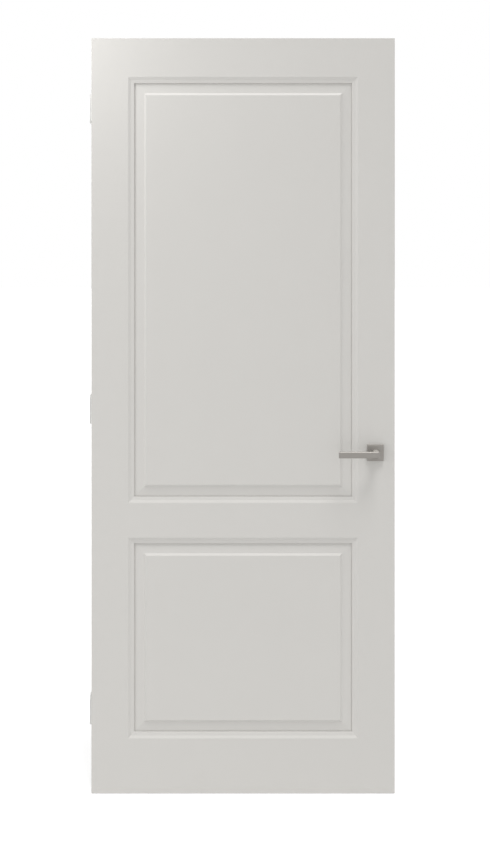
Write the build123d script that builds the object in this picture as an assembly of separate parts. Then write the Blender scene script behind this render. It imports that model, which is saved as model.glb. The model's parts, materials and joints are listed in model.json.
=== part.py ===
"""Interior door: a two-panel painted leaf on three butt hinges, with a lever handle on square roses.

Millimetres. X runs along the leaf from the hinge edge to the lock edge, Y from the front face to
the back face, Z up. The origin lies on the face of the bottom hinge that is screwed to the jamb,
level with the middle of that hinge and with the middle of the leaf's thickness.
"""

from build123d import *
import os

os.makedirs("parts", exist_ok=True)

# Leaf
LEAF_W = 930.0
LEAF_H = 2315.0
LEAF_T = 40.0
ARRIS_R = 1.5  # eased outer edges of the leaf

# Stiles and rails, measured over the moulding to the sight line of the panel
STILE_W = 131.0
TOP_RAIL_H = 138.0
MIDDLE_RAIL_H = 144.0
BOTTOM_RAIL_H = 187.5
LOWER_OPENING_H = 577.5

# Moulding run on the inner edges of stiles and rails
MOULD_W = 19.0
SPLAY_W = 8.0  # outer part, a splay that bulges a little
SPLAY_D = 3.6
SPLAY_BULGE = 0.2
LIP_D = 5.2  # depth where the flatter inner part rounds over into the opening
LIP_R = 1.0

# Panel, the same on both faces
PANEL_D = 9.5  # depth of the margin's outer edge below the face
QUIRK_W = 1.0  # narrow gap between the moulding and the margin, where the panel can move
QUIRK_D = 3.0  # depth of that gap below the margin, down to the tongue
BEVEL_W = 29.0  # sloping margin
BEVEL_RISE = 3.0
STEP_W = 7.0  # steep step up to the field
STEP_RISE = 4.4
GROOVE_D = 12.0
PANEL_IN = 11.0  # how far the panel's edge stands in the groove
GROOVE_PLAY = 0.2

# Hinges
HINGE_H = 89.0
HINGE_REACH = 38.0  # from the pin to the far edge of a flap
FLAP_T = 2.5
FLAP_R = 10.0
FLAP_GAP = 1.0  # between the two flaps of a shut hinge
KNUCKLE_R = 6.0
KNUCKLE_OUT = 7.0  # from the back face to the pin
KNUCKLES = 3
KNUCKLE_GAP = 0.4
KNUCKLE_CLEAR = 0.5  # between a flap's plate and the other flap's knuckles
PIN_R = 3.0
PIN_PLAY = 0.05
SCREW_R = 2.6
SCREW_HEAD_R = 4.5
SCREW_LAND = 1.0  # straight part of a screw hole under its countersink, where it has one
SCREW_NEAR = 16.0  # from the pin to the first column of screws
SCREW_FAR = 28.5
SCREW_PITCH = 22.0  # from one screw to the next up the flap
BOTTOM_HINGE_UP = 250.0  # from the foot of the leaf to the middle of the bottom hinge
TOP_HINGE_DOWN = 215.0

# Handle
HANDLE_UP = 1045.0  # from the foot of the leaf to the spindle
BACKSET = 60.0
ROSE_SIDE = 50.0
ROSE_T = 9.0
ROSE_CHAMFER = 0.8
NECK_R = 11.0
NECK_PLAY = 0.3
NECK_FOOT = 0.6  # gap between the neck and the face of the leaf
COLLAR_END = 34.0  # from the face of the leaf
SHOULDER_END = 37.0
LEVER_OUT = 56.5  # from the face of the leaf to the front of the grip
LEVER_T = 10.0
LEVER_H = 19.0
LEVER_TIP = 115.0  # from the spindle to the tip
LEVER_HEEL = 10.0  # from the spindle to the outer end
HEEL_R = 8.5
LEVER_BEVEL = 1.8  # along the grip
SPINDLE = 8.0
SOCKET_DEPTH = 30.0
SPINDLE_BORE_R = 9.0

# Latch
FOREND_W = 20.0
FOREND_H = 170.0
FOREND_T = 3.0
FOREND_PLAY = 0.2  # around the plate in the stile
FOREND_SCREW_UP = 73.0  # from the spindle to a screw of the plate, above and below
CASE_T = 14.0
CASE_DEPTH = 82.0
CASE_H = 120.0
CASE_PLAY = 0.5
FOLLOWER_R = 7.0
LATCH_UP = 22.0  # from the spindle to the middle of the latch
LATCH_W = 12.0
LATCH_H = 32.0
LATCH_DEPTH = 36.0
LATCH_PLAY = 0.3

HALF_T = LEAF_T / 2
LEAF_X = 2 * FLAP_T + FLAP_GAP
LOCK_X = LEAF_X + LEAF_W
FOOT_Z = -BOTTOM_HINGE_UP
HEAD_Z = FOOT_Z + LEAF_H
MID_X = LEAF_X + LEAF_W / 2
MID_Z = FOOT_Z + LEAF_H / 2
SIGHT_L = LEAF_X + STILE_W
SIGHT_R = LOCK_X - STILE_W
OPENING_W = SIGHT_R - SIGHT_L
LOWER_FOOT = FOOT_Z + BOTTOM_RAIL_H
LOWER_HEAD = LOWER_FOOT + LOWER_OPENING_H
UPPER_FOOT = LOWER_HEAD + MIDDLE_RAIL_H
UPPER_HEAD = HEAD_Z - TOP_RAIL_H
PIN_X = FLAP_T + FLAP_GAP / 2
PIN_Y = HALF_T + KNUCKLE_OUT
SPINDLE_X = LOCK_X - BACKSET
SPINDLE_Z = FOOT_Z + HANDLE_UP
TOP_HINGE_Z = HEAD_Z - TOP_HINGE_DOWN
HINGES = {"bottom": 0.0, "middle": TOP_HINGE_Z / 2, "top": TOP_HINGE_Z}
LONG = 2 * LEAF_H


def span(x0, x1, y0, y1, z0, z1):
    """A box between two corners."""
    box = Box(x1 - x0, y1 - y0, z1 - z0)
    return Pos((x0 + x1) / 2, (y0 + y1) / 2, (z0 + z1) / 2) * box


def rod(radius, x, y, z0, z1):
    """An upright cylinder."""
    return Pos(x, y, (z0 + z1) / 2) * Cylinder(radius, z1 - z0)


def cross_rod(radius, x, z, y0, y1):
    """A cylinder through the thickness of the leaf."""
    return Pos(x, (y0 + y1) / 2, z) * Rot(90, 0, 0) * Cylinder(radius, y1 - y0)


def moulding_waste(at, into, side):
    """What the cutter takes off one face to leave the moulding: `into` points away from the panel."""
    depth = Vector(0, -side, 0)
    plane = Plane(origin=at, x_dir=into, z_dir=into.cross(depth))
    inner = MOULD_W - SPLAY_W
    splay_mid = (inner + SPLAY_W / 2, SPLAY_D / 2 - SPLAY_BULGE)
    outline = [
        Line((MOULD_W, -1), (MOULD_W, 0)),
        ThreePointArc((MOULD_W, 0), splay_mid, (inner, SPLAY_D)),
        Line((inner, SPLAY_D), (LIP_R, LIP_D)),
        RadiusArc((LIP_R, LIP_D), (0, LIP_D + LIP_R), LIP_R),
        Line((0, LIP_D + LIP_R), (-1, LIP_D + LIP_R)),
        Line((-1, LIP_D + LIP_R), (-1, -1)),
        Line((-1, -1), (MOULD_W, -1)),
    ]
    return extrude(plane * make_face(outline), LONG / 2, both=True)


def panel_edge(at, into):
    """Mouldings of both faces and the groove between them, along one inner edge of the frame."""
    waste = [moulding_waste(at + Vector(0, s * HALF_T, 0), into, s) for s in (-1, 1)]
    half = HALF_T - PANEL_D - QUIRK_D + GROOVE_PLAY
    middle = at + into * (GROOVE_D - 1) / 2
    if abs(into.X) > 0.5:
        groove = Pos(middle) * Box(GROOVE_D + 1, 2 * half, LONG)
    else:
        groove = Pos(middle) * Box(LONG, 2 * half, GROOVE_D + 1)
    return waste + [groove]


def panel_section(span_mm):
    """Section across a panel whose opening is that wide: tongues, margins, steps and field."""
    edge = HALF_T - PANEL_D
    thin = edge - QUIRK_D
    foot, head = edge + BEVEL_RISE, edge + BEVEL_RISE + STEP_RISE
    tongue = span_mm / 2 + PANEL_IN
    half = span_mm / 2 - QUIRK_W
    inner = half - BEVEL_W
    field = inner - STEP_W
    rim = [(tongue, thin), (half, thin), (half, edge), (inner, foot), (field, head)]
    quarter = [(-x, y) for x, y in rim] + rim[::-1]
    return make_face(Polyline(*quarter, *((x, -y) for x, y in quarter[::-1]), close=True))


def raised_panel(z0, z1):
    """A panel raised and fielded on both faces, its edge standing in the grooves."""
    at = (MID_X, 0, (z0 + z1) / 2)
    across = Plane(origin=at, x_dir=(1, 0, 0), z_dir=(0, 0, 1))
    upright = Plane(origin=at, x_dir=(0, 0, 1), z_dir=(-1, 0, 0))
    wide = extrude(across * panel_section(OPENING_W), LONG / 2, both=True)
    tall = extrude(upright * panel_section(z1 - z0), LONG / 2, both=True)
    return wide & tall


def knuckle_span(index, middle):
    """Foot and head of one knuckle of a hinge."""
    pitch = (HINGE_H + KNUCKLE_GAP) / KNUCKLES
    foot = middle - HINGE_H / 2 + index * pitch
    return foot, foot + pitch - KNUCKLE_GAP


def countersink(depth, land):
    """What a drill takes out for a flat-headed screw, from the underside of a plate up."""
    base = (Align.CENTER, Align.CENTER, Align.MIN)
    hole = Pos(0, 0, land) * Cone(SCREW_R, SCREW_HEAD_R, depth - land, align=base)
    if land:
        hole += Cylinder(SCREW_R, land, align=base)
    return hole


def screw_places(middle):
    """Staggered screws of one flap: distance from the pin, and height."""
    reach = [SCREW_FAR, SCREW_NEAR, SCREW_FAR, SCREW_NEAR]
    return [(r, middle + (1.5 - i) * SCREW_PITCH) for i, r in enumerate(reach)]


def flap(middle, turn, knuckles):
    """One flap with its knuckles: turn -1 lies on the jamb and carries the pin, turn 1 on the leaf."""
    inner = PIN_X + turn * FLAP_GAP / 2
    outer = inner + turn * FLAP_T
    low, high = min(inner, outer), max(inner, outer)
    far = PIN_Y - HINGE_REACH
    near = PIN_Y - KNUCKLE_R - KNUCKLE_CLEAR
    plate = span(low, high, far, near, middle - HINGE_H / 2, middle + HINGE_H / 2)
    corners = plate.edges().filter_by(Axis.X).group_by(Axis.Y)[0]
    plate = fillet(corners, FLAP_R)
    for index in knuckles:
        foot, head = knuckle_span(index, middle)
        plate += span(low, high, near, PIN_Y, foot, head)
        plate += rod(KNUCKLE_R, PIN_X, PIN_Y, foot, head)
    if turn < 0:
        plate += rod(PIN_R, PIN_X, PIN_Y, middle - HINGE_H / 2, middle + HINGE_H / 2)
    else:
        plate -= rod(PIN_R + PIN_PLAY, PIN_X, PIN_Y, middle - HINGE_H, middle + HINGE_H)
    land = SCREW_LAND if turn < 0 else 0
    for reach, z in screw_places(middle):
        hole = Plane(origin=(outer, PIN_Y - reach, z), z_dir=(-turn, 0, 0))
        plate -= hole * countersink(FLAP_T, land)
    return plate


def rose(side):
    """A square rose, flat on the face of the leaf, with a round hole for the neck."""
    y0, y1 = sorted((side * HALF_T, side * (HALF_T + ROSE_T)))
    half = ROSE_SIDE / 2
    plate = span(
        SPINDLE_X - half, SPINDLE_X + half, y0, y1, SPINDLE_Z - half, SPINDLE_Z + half
    )
    front = plate.faces().sort_by(Axis.Y)[-1 if side > 0 else 0]
    plate = chamfer(front.edges(), ROSE_CHAMFER)
    return plate - cross_rod(NECK_R + NECK_PLAY, SPINDLE_X, SPINDLE_Z, y0 - 1, y1 + 1)


def lever(side):
    """A straight lever: a collar with a sloping shoulder, a neck and, square to it, a bevelled grip."""
    half_h = LEVER_H / 2
    neck_end = LEVER_OUT - LEVER_T / 2
    profile = Polyline(
        (0, NECK_FOOT),
        (NECK_R, NECK_FOOT),
        (NECK_R, COLLAR_END),
        (half_h, SHOULDER_END),
        (half_h, neck_end),
        (0, neck_end),
        close=True,
    )
    base = Plane(origin=(0, 0, 0), x_dir=(1, 0, 0), z_dir=(0, 0, 1))
    neck = revolve(base * make_face(profile), Axis.Y)
    bar = span(-LEVER_TIP, LEVER_HEEL, LEVER_OUT - LEVER_T, LEVER_OUT, -half_h, half_h)
    heel = bar.edges().filter_by(Axis.Z).sort_by(Axis.X)[-2:].sort_by(Axis.Y)[-1]
    grip = chamfer(bar.edges().filter_by(Axis.X), LEVER_BEVEL) & fillet(heel, HEEL_R)
    body = grip + neck
    socket = SPINDLE / 2
    body -= span(-socket, socket, NECK_FOOT - 1, SOCKET_DEPTH, -socket, socket)
    if side < 0:
        body = mirror(body, about=Plane.XZ)
    return Pos(SPINDLE_X, side * HALF_T, SPINDLE_Z) * body


def forend_slab(depth, play):
    """The round-ended plate of the latch, or with some play the seat that it lies in."""
    plane = Plane(origin=(LOCK_X, 0, SPINDLE_Z), x_dir=(0, 0, 1), z_dir=(-1, 0, 0))
    outline = SlotOverall(FOREND_H + 2 * play, FOREND_W + 2 * play)
    return extrude(plane * outline, depth)


def latch_block(play):
    """The latch, flush with its plate, or with some play the way that it slides in."""
    w, h = LATCH_W / 2 + play, LATCH_H / 2 + play
    z = SPINDLE_Z + LATCH_UP
    return span(LOCK_X - LATCH_DEPTH, LOCK_X, -w, w, z - h, z + h)


def case_block(play):
    """The latch case, or with some play its mortise."""
    w, h = CASE_T / 2 + play, CASE_H / 2 + play
    back = LOCK_X - CASE_DEPTH - play
    return span(back, LOCK_X - FOREND_T, -w, w, SPINDLE_Z - h, SPINDLE_Z + h)


def leaf_outline():
    """The whole leaf as a plain slab with eased edges around both faces."""
    slab = span(LEAF_X, LOCK_X, -HALF_T, HALF_T, FOOT_Z, HEAD_Z)
    faces = slab.faces().sort_by(Axis.Y)
    return fillet(faces[0].edges() + faces[-1].edges(), ARRIS_R)


nodes = {}
outline = leaf_outline()
left = Vector(-1, 0, 0)
right = Vector(1, 0, 0)
up = Vector(0, 0, 1)
down = Vector(0, 0, -1)

hinge_stile = span(LEAF_X, SIGHT_L, -HALF_T, HALF_T, FOOT_Z, HEAD_Z)
hinge_stile -= panel_edge(Vector(SIGHT_L, 0, MID_Z), left)
lock_stile = span(SIGHT_R, LOCK_X, -HALF_T, HALF_T, FOOT_Z, HEAD_Z)
lock_stile -= panel_edge(Vector(SIGHT_R, 0, MID_Z), right)

# Each rail reaches over the moulding of the stiles, and its ends are coped to them.
rails = {
    "bottom_rail": (FOOT_Z, LOWER_FOOT, [(LOWER_FOOT, down)]),
    "middle_rail": (LOWER_HEAD, UPPER_FOOT, [(LOWER_HEAD, up), (UPPER_FOOT, down)]),
    "top_rail": (UPPER_HEAD, HEAD_Z, [(UPPER_HEAD, up)]),
}
rail_x0 = SIGHT_L - MOULD_W
rail_x1 = SIGHT_R + MOULD_W
for name, (z0, z1, edges) in rails.items():
    rail = span(rail_x0, rail_x1, -HALF_T, HALF_T, z0, z1)
    for sight, into in edges:
        rail -= panel_edge(Vector(MID_X, 0, sight), into)
    nodes[name] = (rail - hinge_stile - lock_stile) & outline

nodes["upper_panel"] = raised_panel(UPPER_FOOT, UPPER_HEAD)
nodes["lower_panel"] = raised_panel(LOWER_FOOT, LOWER_HEAD)

hinge_stile = hinge_stile & outline
for name, z in HINGES.items():
    nodes[f"hinge_{name}_frame_flap"] = flap(z, -1, (0, 2))
    nodes[f"hinge_{name}_leaf_flap"] = flap(z, 1, (1,))
nodes["hinge_stile"] = hinge_stile

spindle_bore = cross_rod(SPINDLE_BORE_R, SPINDLE_X, SPINDLE_Z, -HALF_T - 1, HALF_T + 1)
lock_stile = lock_stile & outline
lock_stile -= [forend_slab(FOREND_T, FOREND_PLAY), case_block(CASE_PLAY), spindle_bore]
nodes["lock_stile"] = lock_stile

follower = cross_rod(FOLLOWER_R, SPINDLE_X, SPINDLE_Z, -HALF_T, HALF_T)
latch_way = latch_block(LATCH_PLAY)
nodes["latch_case"] = case_block(0) - [follower, latch_way]
forend = forend_slab(FOREND_T, 0) - latch_way
for side in (-1, 1):
    at = (LOCK_X - FOREND_T, 0, SPINDLE_Z + side * FOREND_SCREW_UP)
    forend -= Plane(origin=at, z_dir=(1, 0, 0)) * countersink(FOREND_T, 0)
nodes["latch_forend"] = forend
nodes["latch_bolt"] = latch_block(0)

nodes["front_rose"] = rose(-1)
nodes["back_rose"] = rose(1)
nodes["front_lever"] = lever(-1)
nodes["back_lever"] = lever(1)
reach = HALF_T + SOCKET_DEPTH
half_bar = SPINDLE / 2
nodes["spindle"] = span(
    SPINDLE_X - half_bar,
    SPINDLE_X + half_bar,
    -reach,
    reach,
    SPINDLE_Z - half_bar,
    SPINDLE_Z + half_bar,
)

for name, shape in nodes.items():
    shape.label = name
    export_step(shape, f"parts/{name}.step")
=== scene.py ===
"""Looks, small fasteners and studio for a panelled interior door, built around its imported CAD
model."""

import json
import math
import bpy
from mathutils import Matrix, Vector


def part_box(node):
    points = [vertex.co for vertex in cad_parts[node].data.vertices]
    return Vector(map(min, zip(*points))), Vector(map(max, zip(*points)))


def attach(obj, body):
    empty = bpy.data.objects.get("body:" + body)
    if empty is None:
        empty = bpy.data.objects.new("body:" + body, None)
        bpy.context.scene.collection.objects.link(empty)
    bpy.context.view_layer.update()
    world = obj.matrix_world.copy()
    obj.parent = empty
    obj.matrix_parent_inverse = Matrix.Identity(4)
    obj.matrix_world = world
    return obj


bl_info = {
    "name": "Panelled interior door",
    "version": (1, 0, 0),
    "blender": (4, 5, 0),
    "location": "View3D > Sidebar > Door",
    "description": "Paints the leaf, finishes its handle, hinges and latch, and lights it",
    "category": "Object",
}

import bmesh
import bpy
from bpy.props import FloatProperty, FloatVectorProperty, PointerProperty
from bpy.types import Operator, Panel, PropertyGroup
from mathutils import Matrix, Vector

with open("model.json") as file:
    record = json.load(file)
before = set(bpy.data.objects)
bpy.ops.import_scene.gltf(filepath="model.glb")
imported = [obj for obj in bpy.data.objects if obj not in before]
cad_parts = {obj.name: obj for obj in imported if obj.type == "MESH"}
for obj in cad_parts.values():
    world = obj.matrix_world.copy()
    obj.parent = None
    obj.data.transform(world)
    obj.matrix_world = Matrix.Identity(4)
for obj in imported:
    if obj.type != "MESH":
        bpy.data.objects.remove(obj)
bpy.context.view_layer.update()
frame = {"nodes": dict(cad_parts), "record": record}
MM = 0.001

# The leaf's corners and the lever's lift in the photograph, in its pixels, give the camera.
PHOTO_W, PHOTO_H = 490, 853
LEAF_LEFT_PX, LEAF_RIGHT_PX = 91.28, 394.93
LEAF_HEAD_PX, LEAF_FOOT_PX = 38.0, 793.52
HORIZON_PX = 255.0  # eye level: the lever shows its upper side, below the middle of its rose

LEAF_NODES = (
    "hinge_stile",
    "lock_stile",
    "top_rail",
    "middle_rail",
    "bottom_rail",
    "upper_panel",
    "lower_panel",
)
PANEL_RAILS = {
    "upper_panel": ("middle_rail", "top_rail"),
    "lower_panel": ("bottom_rail", "middle_rail"),
}
HANDLE_NODES = ("front_rose", "back_rose", "front_lever", "back_lever", "spindle")
LATCH_NODES = ("latch_case", "latch_forend", "latch_bolt")
HINGE_NAMES = ("bottom", "middle", "top")
HINGE_PARTS = ("frame_flap", "leaf_flap")

LEAF_LOW = Vector(map(min, zip(*(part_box(n)[0] for n in LEAF_NODES))))
LEAF_HIGH = Vector(map(max, zip(*(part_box(n)[1] for n in LEAF_NODES))))
LEAF_MIDDLE = (LEAF_LOW + LEAF_HIGH) / 2

# Surfaces: how far the gloss swings to each side, and how deep a bump looks.
PAINT_GLOSS_SWING = 0.03
PEEL_STRENGTH = 0.2
METAL_GLOSS_SWING = 0.06
BRUSH_STRETCH = 0.02  # brushed lines are fifty times as long as they are wide
BRUSH_DEPTH = 0.02 * MM
BRUSH_STRENGTH = 0.15
DULL_SHARE = 0.86  # of the metal's colour, in the brushed lines

# Fasteners and paint, in shares of their own sizes or in metres.
HEAD_RIM = 0.4  # of a screw's head radius, around its recess
RECESS_TAPER = 0.12  # of the recess's width
GRUB_RIM = 0.35  # of a set screw's radius, around its socket
SOCKET_DEPTH = 0.6  # of a set screw's length
SOCKET_TAPER = 0.05 * MM
GRUB_PROUD = 0.1 * MM  # so that its end shows on the neck, which has no hole
NECK_INSET = 0.5 * MM  # keeps the neck's painted highlight off the rose and the bar
BEAD_SLACK = 0.02 * MM
BEAD_HOLLOW = 0.2 * MM

# Studio, in metres from what each lamp is placed by.
FLOOR_REACH = 60.0
CORNER_LAMP_FROM, CORNER_LAMP_SIZE = Vector((-0.48, -0.39, 0.25)), 0.2
SIDE_LAMP_FROM, SIDE_LAMP_SIZE = Vector((-4.3, -2.3, 0.2)), 1.2

COLOUR = {"subtype": "COLOR", "size": 4, "min": 0, "max": 1}


def linear(hex_colour):
    """An sRGB colour such as #CDCBC7 as linear red, green, blue and alpha."""
    values = [int(hex_colour[i : i + 2], 16) / 255 for i in (1, 3, 5)]
    curve = [v / 12.92 if v <= 0.04045 else ((v + 0.055) / 1.055) ** 2.4 for v in values]
    return (*curve, 1.0)


def add_node(tree, kind, inputs=None, **settings):
    """A node with its settings; each input is a value, or an output socket to link from."""
    node = tree.nodes.new(kind)
    for name, value in settings.items():
        setattr(node, name, value)
    for name, value in (inputs or {}).items():
        if isinstance(value, bpy.types.NodeSocket):
            tree.links.new(value, node.inputs[name])
        else:
            node.inputs[name].default_value = value
    return node


def new_tree(name):
    """An empty material and its node tree."""
    material = bpy.data.materials.new(name)
    material.use_nodes = True
    material.node_tree.nodes.clear()
    return material, material.node_tree


def paint_coat(name, paint, colour, thin_colour):
    """A satin coat: an even colour with a soft gloss, a faint orange peel in the gloss, and hardly
    any change of tone from board to board."""
    material, tree = new_tree(name)
    place = add_node(tree, "ShaderNodeTexCoord").outputs["Object"]
    drift = add_node(
        tree,
        "ShaderNodeTexNoise",
        {"Vector": place, "Scale": 1 / paint.drift, "Detail": 2.0, "Roughness": 0.5},
    )
    tone = add_node(
        tree,
        "ShaderNodeMix",
        {"Factor": drift.outputs["Fac"], "A": thin_colour, "B": colour},
        data_type="RGBA",
    )
    # Real orange peel is finer than a pixel here, so it is drawn at a few millimetres.
    peel = add_node(
        tree,
        "ShaderNodeTexNoise",
        {"Vector": place, "Scale": 1 / paint.peel, "Detail": 3.0, "Roughness": 0.55},
    )
    gloss = add_node(
        tree,
        "ShaderNodeMapRange",
        {
            "Value": drift.outputs["Fac"],
            "To Min": paint.roughness - PAINT_GLOSS_SWING,
            "To Max": paint.roughness + PAINT_GLOSS_SWING,
        },
    )
    bump = add_node(
        tree,
        "ShaderNodeBump",
        {
            "Height": peel.outputs["Fac"],
            "Strength": PEEL_STRENGTH,
            "Distance": paint.peel_height,
        },
    )
    shader = add_node(
        tree,
        "ShaderNodeBsdfPrincipled",
        {
            "Base Color": tone.outputs["Result"],
            "Roughness": gloss.outputs["Result"],
            "Normal": bump.outputs["Normal"],
            "IOR": 1.5,
            "Specular IOR Level": paint.gloss,
        },
    )
    add_node(tree, "ShaderNodeOutputMaterial", {"Surface": shader.outputs["BSDF"]})
    return material


def brushed_metal(name, colour, roughness, grain, along, metallic=1.0, neck=None):
    """Metal brushed along one row axis: fine straight scratches that vary the gloss. Under a satin
    lacquer it looks less metallic. On a neck the brushed tone gives way to one brighter colour, a
    painted highlight for the overhead light on its top. The neck is given by that colour, and by
    how far from the middle of the leaf it starts and ends."""
    material, tree = new_tree(name)
    place = add_node(tree, "ShaderNodeTexCoord").outputs["Object"]
    stretch = [1.0, 1.0, 1.0]
    stretch[along] = BRUSH_STRETCH
    drawn_out = add_node(tree, "ShaderNodeMapping", {"Vector": place, "Scale": stretch})
    # Real brushed lines lie closer than a pixel here, so they are drawn half a millimetre apart.
    lines = add_node(
        tree,
        "ShaderNodeTexNoise",
        {
            "Vector": drawn_out.outputs["Vector"],
            "Scale": 1 / grain,
            "Detail": 4.0,
            "Roughness": 0.65,
        },
    )
    dull = [c * DULL_SHARE for c in colour[:3]] + [1.0]
    tone = add_node(
        tree,
        "ShaderNodeMix",
        {"Factor": lines.outputs["Fac"], "A": dull, "B": colour},
        data_type="RGBA",
    )
    # Painted highlight: the whole neck takes one brighter colour, for the overhead light on its
    # top.
    if neck:
        neck_highlight_colour, start, end = neck
        depth = add_node(tree, "ShaderNodeSeparateXYZ", {"Vector": place})
        out = add_node(tree, "ShaderNodeMath", {0: depth.outputs["Y"]}, operation="ABSOLUTE")
        on_neck = add_node(
            tree,
            "ShaderNodeMath",
            {0: out.outputs["Value"], 1: (start + end) / 2, 2: (end - start) / 2},
            operation="COMPARE",
        )
        tone = add_node(
            tree,
            "ShaderNodeMix",
            {"Factor": on_neck.outputs["Value"], "A": tone.outputs["Result"], "B": neck_highlight_colour},
            data_type="RGBA",
        )
    gloss = add_node(
        tree,
        "ShaderNodeMapRange",
        {
            "Value": lines.outputs["Fac"],
            "From Min": 0.3,
            "From Max": 0.7,
            "To Min": roughness - METAL_GLOSS_SWING,
            "To Max": roughness + METAL_GLOSS_SWING,
        },
    )
    bump = add_node(
        tree,
        "ShaderNodeBump",
        {
            "Height": lines.outputs["Fac"],
            "Strength": BRUSH_STRENGTH,
            "Distance": BRUSH_DEPTH,
        },
    )
    shader = add_node(
        tree,
        "ShaderNodeBsdfPrincipled",
        {
            "Base Color": tone.outputs["Result"],
            "Metallic": metallic,
            "Roughness": gloss.outputs["Result"],
            "Normal": bump.outputs["Normal"],
        },
    )
    add_node(tree, "ShaderNodeOutputMaterial", {"Surface": shader.outputs["BSDF"]})
    return material


def finish_nodes(nodes, material):
    """Gives CAD nodes a material through their objects' slots."""
    for name in nodes:
        for place in frame["nodes"][name].material_slots:
            place.material = material


def piece_from(bm, name, material, body):
    """A finished mesh as a piece that rides on a body."""
    bmesh.ops.recalc_face_normals(bm, faces=bm.faces)
    mesh = bpy.data.meshes.new(name)
    bm.to_mesh(mesh)
    bm.free()
    mesh.materials.append(material)
    piece = bpy.data.objects.new(name, mesh)
    bpy.context.scene.collection.objects.link(piece)
    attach(piece, body)
    return piece


def paint_bead(bm, paint, start, across, into, run):
    """Paint that has run into the joint beside a panel: a strip with a hollow top. It starts at a
    point on the leaf's face, where the opening's edge would meet it."""
    width = paint.joint_width - 2 * BEAD_SLACK
    section = (
        (0, paint.joint_floor),
        (width, paint.joint_floor),
        (width, paint.joint_fill),
        (width / 2, paint.joint_fill + BEAD_HOLLOW),
        (0, paint.joint_fill),
    )
    across, into = Vector(across), Vector(into)
    ring = [
        bm.verts.new(Vector(start) + across * (BEAD_SLACK + aside) + into * deep)
        for aside, deep in section
    ]
    strip = bmesh.ops.extrude_face_region(bm, geom=[bm.faces.new(ring)])
    far_end = [g for g in strip["geom"] if isinstance(g, bmesh.types.BMVert)]
    bmesh.ops.translate(bm, verts=far_end, vec=run)


def countersunk_screw(bm, sizes, matrix):
    """A flat-headed wood screw with a cross recess, its head's top at the matrix's origin."""
    before = set(bm.verts)
    bmesh.ops.create_cone(
        bm,
        cap_ends=True,
        segments=32,
        radius1=sizes.shank_radius,
        radius2=sizes.head_radius,
        depth=sizes.head_depth,
        matrix=Matrix.Translation((0, 0, -sizes.head_depth / 2)),
    )
    own = [v for v in bm.verts if v not in before]
    top = max((f for v in own for f in v.link_faces), key=lambda f: f.calc_center_median().z)
    bmesh.ops.inset_region(bm, faces=[top], thickness=sizes.head_radius * HEAD_RIM)
    half = sizes.recess_width / 2
    inner = [top]
    for normal in ((1, 0, 0), (0, 1, 0)):
        for side in (-half, half):
            around = {e for f in inner for e in f.edges} | {v for f in inner for v in f.verts}
            cut = bmesh.ops.bisect_plane(
                bm, geom=inner + list(around), plane_co=Vector(normal) * side, plane_no=normal
            )
            inner = [g for g in cut["geom"] if isinstance(g, bmesh.types.BMFace)]
    middles = {f: f.calc_center_median() for f in inner}
    cross = [f for f, m in middles.items() if min(abs(m.x), abs(m.y)) < half]
    taper = sizes.recess_width * RECESS_TAPER
    bmesh.ops.inset_region(bm, faces=cross, thickness=taper, depth=-sizes.recess_depth)
    own = [v for v in bm.verts if v not in before]
    bmesh.ops.transform(bm, matrix=matrix, verts=own)


def grub_screw(bm, sizes, matrix):
    """A flush set screw with a socket, its end at the matrix's origin."""
    before = set(bm.verts)
    bmesh.ops.create_cone(
        bm,
        cap_ends=True,
        segments=24,
        radius1=sizes.grub_radius,
        radius2=sizes.grub_radius,
        depth=sizes.grub_depth,
        matrix=Matrix.Translation((0, 0, -sizes.grub_depth / 2)),
    )
    own = [v for v in bm.verts if v not in before]
    top = max((f for v in own for f in v.link_faces), key=lambda f: f.calc_center_median().z)
    bmesh.ops.inset_region(bm, faces=[top], thickness=sizes.grub_radius * GRUB_RIM)
    deep = sizes.grub_depth * SOCKET_DEPTH
    bmesh.ops.inset_region(bm, faces=[top], thickness=SOCKET_TAPER, depth=-deep)
    own = [v for v in bm.verts if v not in before]
    bmesh.ops.transform(bm, matrix=matrix, verts=own)


def facing(place, direction):
    """A matrix that puts a fastener at a place, with its head towards a direction."""
    turn = Vector((0, 0, 1)).rotation_difference(Vector(direction)).to_matrix().to_4x4()
    return Matrix.Translation(place) @ turn


def hinge_screw_places(hinge):
    """Heights and depths of a hinge's screws, from the mounts of its flap on the jamb."""
    places = []
    for mount in frame["record"]["mounts"]:
        if mount["kind"] == "bolt_pattern" and mount["name"].startswith(hinge):
            _, y, z = mount["pos_m"]
            half = mount["dims"]["spacing_y_mm"] * MM / 2
            places += [(y, z - half), (y, z + half)]
    return places


def lamp(name, kind, place, aim, **settings):
    """A lamp that looks at a point."""
    data = bpy.data.lights.new(name, kind)
    for setting, value in settings.items():
        setattr(data, setting, value)
    lamp_object = bpy.data.objects.new(name, data)
    lamp_object.location = place
    lamp_object.rotation_euler = (Vector(aim) - Vector(place)).to_track_quat("-Z", "Y").to_euler()
    bpy.context.scene.collection.objects.link(lamp_object)
    return lamp_object


def seen_directly(tree):
    """1 for rays that look at the studio or at its mirror image, 0 for those that gather light."""
    path = add_node(tree, "ShaderNodeLightPath")
    seen = path.outputs["Is Camera Ray"]
    for kind in ("Is Glossy Ray", "Is Transmission Ray"):
        either = add_node(
            tree, "ShaderNodeMath", {0: seen, 1: path.outputs[kind]}, operation="MAXIMUM"
        )
        seen = either.outputs["Value"]
    return seen


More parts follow.
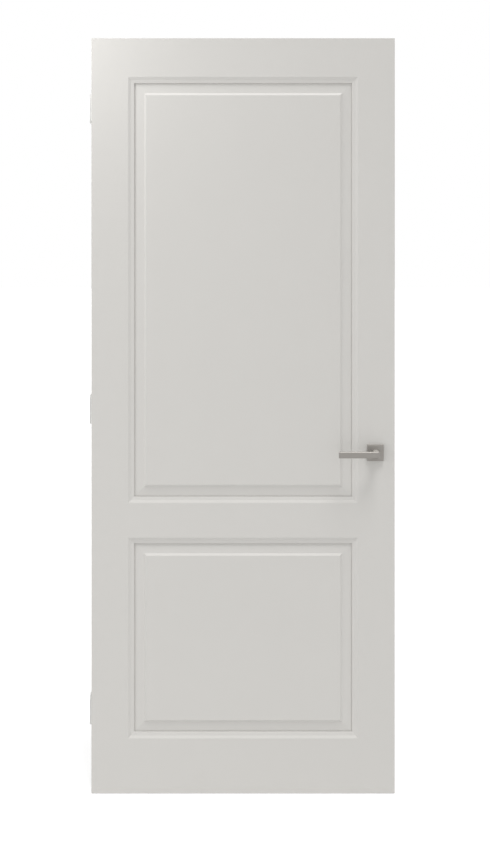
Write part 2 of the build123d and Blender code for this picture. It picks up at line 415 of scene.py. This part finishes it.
class DoorPaint(PropertyGroup):
    """Paint of the leaf, and lacquer of its hinges."""

    colour: FloatVectorProperty(
        name="Colour",
        description="Paint of stiles, rails and panels",
        **COLOUR,
        default=linear("#CECCC8"),
    )
    thin_colour: FloatVectorProperty(
        name="Thin coat",
        description="The paint where the coat is a little thinner",
        **COLOUR,
        default=linear("#CCCAC6"),
    )
    hinge_colour: FloatVectorProperty(
        name="Hinges",
        description="White lacquer of the hinges",
        **COLOUR,
        default=linear("#F0F0EE"),
    )
    roughness: FloatProperty(
        name="Roughness", description="Dullness of the satin", subtype="FACTOR", default=0.48
    )
    gloss: FloatProperty(
        name="Gloss", description="Strength of the satin's shine", subtype="FACTOR", default=0.5
    )
    drift: FloatProperty(
        name="Drift", description="Width of the changes of tone", unit="LENGTH", default=220 * MM
    )
    peel: FloatProperty(
        name="Orange peel",
        description="Width of the paint's ripples",
        unit="LENGTH",
        default=4 * MM,
    )
    peel_height: FloatProperty(
        name="Peel height", description="Depth of the ripples", unit="LENGTH", default=0.02 * MM
    )
    joint_width: FloatProperty(
        name="Joint", description="Gap between a stile and a panel", unit="LENGTH", default=1 * MM
    )
    joint_floor: FloatProperty(
        name="Joint floor",
        description="Depth of the gap's floor below the leaf's face",
        unit="LENGTH",
        default=12.5 * MM,
    )
    joint_fill: FloatProperty(
        name="Joint fill",
        description="Depth of the paint in the gap below the leaf's face",
        unit="LENGTH",
        default=9.8 * MM,
    )


class DoorMetal(PropertyGroup):
    """Metal of handle and latch."""

    handle_colour: FloatVectorProperty(
        name="Handle",
        description="Satin-lacquered steel of levers and roses",
        **COLOUR,
        default=linear("#95918C"),
    )
    # Painted highlight: a brighter colour over the levers' necks, for the overhead light on them.
    neck_highlight_colour: FloatVectorProperty(
        name="Neck",
        description="The same steel on the turned necks of the levers",
        **COLOUR,
        default=linear("#BCB8B2"),
    )
    latch_colour: FloatVectorProperty(
        name="Latch",
        description="Nickel-plated steel of the latch and its screws",
        **COLOUR,
        default=linear("#B2B3B2"),
    )
    roughness: FloatProperty(
        name="Roughness", description="Dullness of the brushing", subtype="FACTOR", default=0.42
    )
    satin: FloatProperty(
        name="Satin", description="How metallic the handle looks", subtype="FACTOR", default=0.4
    )
    grain: FloatProperty(
        name="Grain", description="Spacing of the brushed lines", unit="LENGTH", default=0.5 * MM
    )
    bar: FloatProperty(
        name="Bar", description="Thickness of a lever's bar", unit="LENGTH", default=10 * MM
    )


class DoorFasteners(PropertyGroup):
    """Screws that hold the hinges, the latch and the levers."""

    head_radius: FloatProperty(
        name="Head", description="Radius of a screw's head", unit="LENGTH", default=4.3 * MM
    )
    shank_radius: FloatProperty(
        name="Shank", description="Radius under the head", unit="LENGTH", default=2.4 * MM
    )
    head_depth: FloatProperty(
        name="Head depth", description="Depth of the head", unit="LENGTH", default=1.5 * MM
    )
    recess_width: FloatProperty(
        name="Recess", description="Width of the cross recess", unit="LENGTH", default=1.0 * MM
    )
    recess_depth: FloatProperty(
        name="Recess depth",
        description="Depth of the cross recess",
        unit="LENGTH",
        default=1.0 * MM,
    )
    grub_radius: FloatProperty(
        name="Grub screw", description="Radius of the set screw", unit="LENGTH", default=2.2 * MM
    )
    grub_depth: FloatProperty(
        name="Grub depth", description="Length of the set screw", unit="LENGTH", default=2.5 * MM
    )
    grub_out: FloatProperty(
        name="Grub place",
        description="From a rose to the middle of its set screw",
        unit="LENGTH",
        default=9 * MM,
    )
    forend_screw_up: FloatProperty(
        name="Plate screws",
        description="From the spindle to a screw of the latch's plate",
        unit="LENGTH",
        default=73 * MM,
    )
    flap_thickness: FloatProperty(
        name="Flap", description="Thickness of a hinge flap", unit="LENGTH", default=2.5 * MM
    )
    sink: FloatProperty(
        name="Sink",
        description="How far a head lies below its flap or plate",
        unit="LENGTH",
        default=0.1 * MM,
    )


class DoorStage(PropertyGroup):
    """Floor, light and camera."""

    view_distance: FloatProperty(
        name="View distance", description="From the eye to the leaf", unit="LENGTH", default=4.0
    )
    undercut: FloatProperty(
        name="Undercut", description="Gap under the leaf", unit="LENGTH", default=1 * MM
    )
    surroundings: FloatProperty(
        name="Surroundings", description="Light from the room all round", default=0.605
    )
    floor_colour: FloatVectorProperty(
        name="Floor",
        description="Matt white of the studio's floor",
        **COLOUR,
        default=linear("#E2E2E2"),
    )
    floor_lift: FloatProperty(
        name="Floor lift", description="How far the floor is lifted to white", default=0.45
    )
    key_level: FloatProperty(
        name="Key light", description="Strength of the lamp far overhead", default=1.65
    )
    key_rise: FloatProperty(
        name="Key rise",
        description="Height of the key light above the horizon",
        subtype="ANGLE",
        default=math.radians(70),
    )
    key_side: FloatProperty(
        name="Key side",
        description="How far the key light comes from the right",
        subtype="ANGLE",
        default=math.radians(28),
    )
    key_width: FloatProperty(
        name="Key width",
        description="Spread of the key light, which softens its shadows",
        subtype="ANGLE",
        default=math.radians(20),
    )
    corner_watts: FloatProperty(
        name="Corner lamp", description="Lamp beside the top corner", subtype="POWER", default=3.1
    )
    side_watts: FloatProperty(
        name="Side lamp", description="Broad lamp far to the left", subtype="POWER", default=34.0
    )


class DOOR_OT_paint_leaf(Operator):
    """Paints stiles, rails and panels, and runs paint into the joints along stiles and top rail"""

    bl_idname = "door.paint_leaf"
    bl_label = "Paint the leaf"

    def execute(self, context):
        paint = context.scene.door_paint
        # Satin paint sprayed on timber: an even pale grey with a soft sheen and a faint ripple.
        coat = paint_coat("satin_paint_on_timber", paint, paint.colour, paint.thin_colour)
        finish_nodes(LEAF_NODES, coat)
        left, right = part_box("hinge_stile")[1].x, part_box("lock_stile")[0].x
        gap = paint.joint_width
        for panel, (below, above) in PANEL_RAILS.items():
            low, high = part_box(below)[1].z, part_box(above)[0].z
            up, along = (0, 0, high - low), (right - left - 2 * gap, 0, 0)
            bm = bmesh.new()
            for face, inward in ((LEAF_LOW.y, 1), (LEAF_HIGH.y, -1)):
                into = (0, inward, 0)
                paint_bead(bm, paint, (left, face, low), (1, 0, 0), into, up)
                paint_bead(bm, paint, (right, face, low), (-1, 0, 0), into, up)
                if above == "top_rail":
                    paint_bead(bm, paint, (left + gap, face, high), (0, 0, -1), into, along)
            piece_from(bm, f"{panel}_joint_paint", coat, "leaf")
        return {"FINISHED"}


class DOOR_OT_finish_handle(Operator):
    """Brushes levers and roses, and sets a grub screw under each lever's neck"""

    bl_idname = "door.finish_handle"
    bl_label = "Finish the handle"

    def execute(self, context):
        metal, sizes = context.scene.door_metal, context.scene.door_fasteners
        neck_start = -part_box("front_rose")[0].y + NECK_INSET
        neck_end = -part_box("front_lever")[0].y - metal.bar - NECK_INSET
        # Steel brushed along the bar under a satin lacquer: a mid grey, duller than bare metal.
        steel = brushed_metal(
            "satin_lacquered_steel",
            metal.handle_colour,
            metal.roughness,
            metal.grain,
            along=0,
            metallic=metal.satin,
            # Over the necks the colour is a painted highlight, for the overhead light on them.
            neck=(metal.neck_highlight_colour, neck_start, neck_end),
        )
        finish_nodes(HANDLE_NODES, steel)
        for side in ("front", "back"):
            rose_low, rose_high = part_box(f"{side}_rose")
            lever_low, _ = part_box(f"{side}_lever")
            middle = (rose_low + rose_high) / 2
            outward = -1 if side == "front" else 1
            face = rose_low.y if outward < 0 else rose_high.y
            place = (middle.x, face + outward * sizes.grub_out, lever_low.z - GRUB_PROUD)
            bm = bmesh.new()
            grub_screw(bm, sizes, facing(place, (0, 0, -1)))
            piece_from(bm, f"{side}_grub_screw", steel, "levers")
        return {"FINISHED"}


class DOOR_OT_finish_hinges(Operator):
    """Lacquers the hinges and drives the screws of the flaps on the leaf"""

    bl_idname = "door.finish_hinges"
    bl_label = "Finish the hinges"

    def execute(self, context):
        paint, sizes = context.scene.door_paint, context.scene.door_fasteners
        # Steel lacquered white: even and softly glossy, with no brushing to be seen.
        coat = paint_coat("white_lacquered_steel", paint, paint.hinge_colour, paint.hinge_colour)
        flap = LEAF_LOW.x - sizes.flap_thickness
        for hinge in HINGE_NAMES:
            finish_nodes([f"hinge_{hinge}_{part}" for part in HINGE_PARTS], coat)
            bm = bmesh.new()
            for y, z in hinge_screw_places(hinge):
                countersunk_screw(bm, sizes, facing((flap + sizes.sink, y, z), (-1, 0, 0)))
            piece_from(bm, f"hinge_{hinge}_leaf_screws", coat, "leaf")
        return {"FINISHED"}


class DOOR_OT_finish_latch(Operator):
    """Plates the latch and its face plate, and drives the plate's screws"""

    bl_idname = "door.finish_latch"
    bl_label = "Finish the latch"

    def execute(self, context):
        metal, sizes = context.scene.door_metal, context.scene.door_fasteners
        # Nickel plate on steel brushed up and down: paler and colder than the handle.
        steel = brushed_metal(
            "nickel_plated_steel", metal.latch_colour, metal.roughness, metal.grain, along=2
        )
        finish_nodes(LATCH_NODES, steel)
        low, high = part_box("latch_forend")
        middle = (low + high) / 2
        bm = bmesh.new()
        for side in (-1, 1):
            place = (high.x - sizes.sink, middle.y, middle.z + side * sizes.forend_screw_up)
            countersunk_screw(bm, sizes, facing(place, (1, 0, 0)))
        piece_from(bm, "latch_forend_screws", steel, "leaf")
        return {"FINISHED"}


class DOOR_OT_set_stage(Operator):
    """Lays the floor, hangs the lamps and sets the camera to the photograph's view"""

    bl_idname = "door.set_stage"
    bl_label = "Set the stage"

    def execute(self, context):
        settings = context.scene.door_stage
        context.scene.view_settings.view_transform = "Standard"
        self.lay_floor(settings)
        self.light_room(context.scene, settings)
        self.set_camera(context.scene, settings)
        return {"FINISHED"}

    def lay_floor(self, settings):
        bm = bmesh.new()
        level = LEAF_LOW.z - settings.undercut
        spot = Matrix.Translation((LEAF_MIDDLE.x, 0, level))
        bmesh.ops.create_grid(bm, x_segments=1, y_segments=1, size=FLOOR_REACH, matrix=spot)
        mesh = bpy.data.meshes.new("studio_floor")
        bm.to_mesh(mesh)
        bm.free()
        # A white matt floor, lifted to paper white where it is seen, so only the shadow shows.
        material, tree = new_tree("white_studio_floor")
        matt = add_node(tree, "ShaderNodeBsdfDiffuse", {"Color": settings.floor_colour})
        lift = add_node(
            tree,
            "ShaderNodeMath",
            {0: seen_directly(tree), 1: settings.floor_lift},
            operation="MULTIPLY",
        )
        glow = add_node(tree, "ShaderNodeEmission", {"Strength": lift.outputs[0]})
        both = add_node(
            tree, "ShaderNodeAddShader", {0: matt.outputs["BSDF"], 1: glow.outputs["Emission"]}
        )
        add_node(tree, "ShaderNodeOutputMaterial", {"Surface": both.outputs["Shader"]})
        mesh.materials.append(material)
        floor = bpy.data.objects.new("studio_floor", mesh)
        bpy.context.scene.collection.objects.link(floor)

    def light_room(self, scene, settings):
        world = bpy.data.worlds.new("studio_room")
        world.use_nodes = True
        world.node_tree.nodes.clear()
        tree = world.node_tree
        level = add_node(
            tree,
            "ShaderNodeMix",
            {"Factor": seen_directly(tree), "A": settings.surroundings, "B": 1.0},
        )
        room = add_node(
            tree,
            "ShaderNodeBackground",
            {"Color": (1, 1, 1, 1), "Strength": level.outputs["Result"]},
        )
        add_node(tree, "ShaderNodeOutputWorld", {"Surface": room.outputs["Background"]})
        scene.world = world
        # A lamp far overhead brightens what faces up and throws the lever's soft shadow down the
        # leaf, to the left. It is a sun lamp, so it falls evenly over the whole height.
        rise, side = settings.key_rise, settings.key_side
        towards = Vector((math.sin(side), -math.cos(side), math.tan(rise)))
        lamp(
            "key_light",
            "SUN",
            LEAF_MIDDLE + towards,
            LEAF_MIDDLE,
            energy=settings.key_level,
            angle=settings.key_width,
        )
        # A small lamp beside the top left corner leaves the soft highlight there.
        corner = Vector((LEAF_LOW.x, LEAF_LOW.y, LEAF_HIGH.z))
        lamp(
            "corner_lamp",
            "AREA",
            corner + CORNER_LAMP_FROM,
            corner,
            energy=settings.corner_watts,
            size=CORNER_LAMP_SIZE,
        )
        # A broad lamp far to the left leaves slopes that face right, and the right stile, darker.
        lamp(
            "side_lamp",
            "AREA",
            LEAF_MIDDLE + SIDE_LAMP_FROM,
            LEAF_MIDDLE,
            energy=settings.side_watts,
            size=SIDE_LAMP_SIZE,
        )

    def set_camera(self, scene, settings):
        metres_a_pixel = (LEAF_HIGH.z - LEAF_LOW.z) / (LEAF_FOOT_PX - LEAF_HEAD_PX)
        data = bpy.data.cameras.new("view_camera")
        camera = bpy.data.objects.new("view_camera", data)
        off_centre = PHOTO_W / 2 - (LEAF_LEFT_PX + LEAF_RIGHT_PX) / 2
        camera.location = (
            LEAF_MIDDLE.x + off_centre * metres_a_pixel,
            LEAF_LOW.y - settings.view_distance,
            LEAF_LOW.z + (LEAF_FOOT_PX - HORIZON_PX) * metres_a_pixel,
        )
        camera.rotation_euler = (math.pi / 2, 0, 0)
        data.lens = data.sensor_width * settings.view_distance / (PHOTO_H * metres_a_pixel)
        data.shift_y = (HORIZON_PX - PHOTO_H / 2) / PHOTO_H
        scene.collection.objects.link(camera)
        scene.camera = camera


class DOOR_PT_sidebar(Panel):
    """Lists the steps and their settings"""

    bl_idname = "DOOR_PT_sidebar"
    bl_label = "Interior door"
    bl_space_type = "VIEW_3D"
    bl_region_type = "UI"
    bl_category = "Door"

    def draw(self, context):
        for step in STEPS:
            self.layout.operator(step.bl_idname)
        for group in SETTINGS:
            box = self.layout.box()
            for name in SETTINGS[group].__annotations__:
                box.prop(getattr(context.scene, group), name)


SETTINGS = {
    "door_paint": DoorPaint,
    "door_metal": DoorMetal,
    "door_fasteners": DoorFasteners,
    "door_stage": DoorStage,
}
STEPS = (
    DOOR_OT_paint_leaf,
    DOOR_OT_finish_handle,
    DOOR_OT_finish_hinges,
    DOOR_OT_finish_latch,
    DOOR_OT_set_stage,
)
CLASSES = (*SETTINGS.values(), *STEPS, DOOR_PT_sidebar)


def register():
    for cls in CLASSES:
        bpy.utils.register_class(cls)
    for name, group in SETTINGS.items():
        setattr(bpy.types.Scene, name, PointerProperty(type=group))


def unregister():
    for name in SETTINGS:
        delattr(bpy.types.Scene, name)
    for cls in reversed(CLASSES):
        bpy.utils.unregister_class(cls)


def main():
    register()
    bpy.ops.door.paint_leaf()
    bpy.ops.door.finish_handle()
    bpy.ops.door.finish_hinges()
    bpy.ops.door.finish_latch()
    bpy.ops.door.set_stage()


if __name__ == "__main__":
    main()
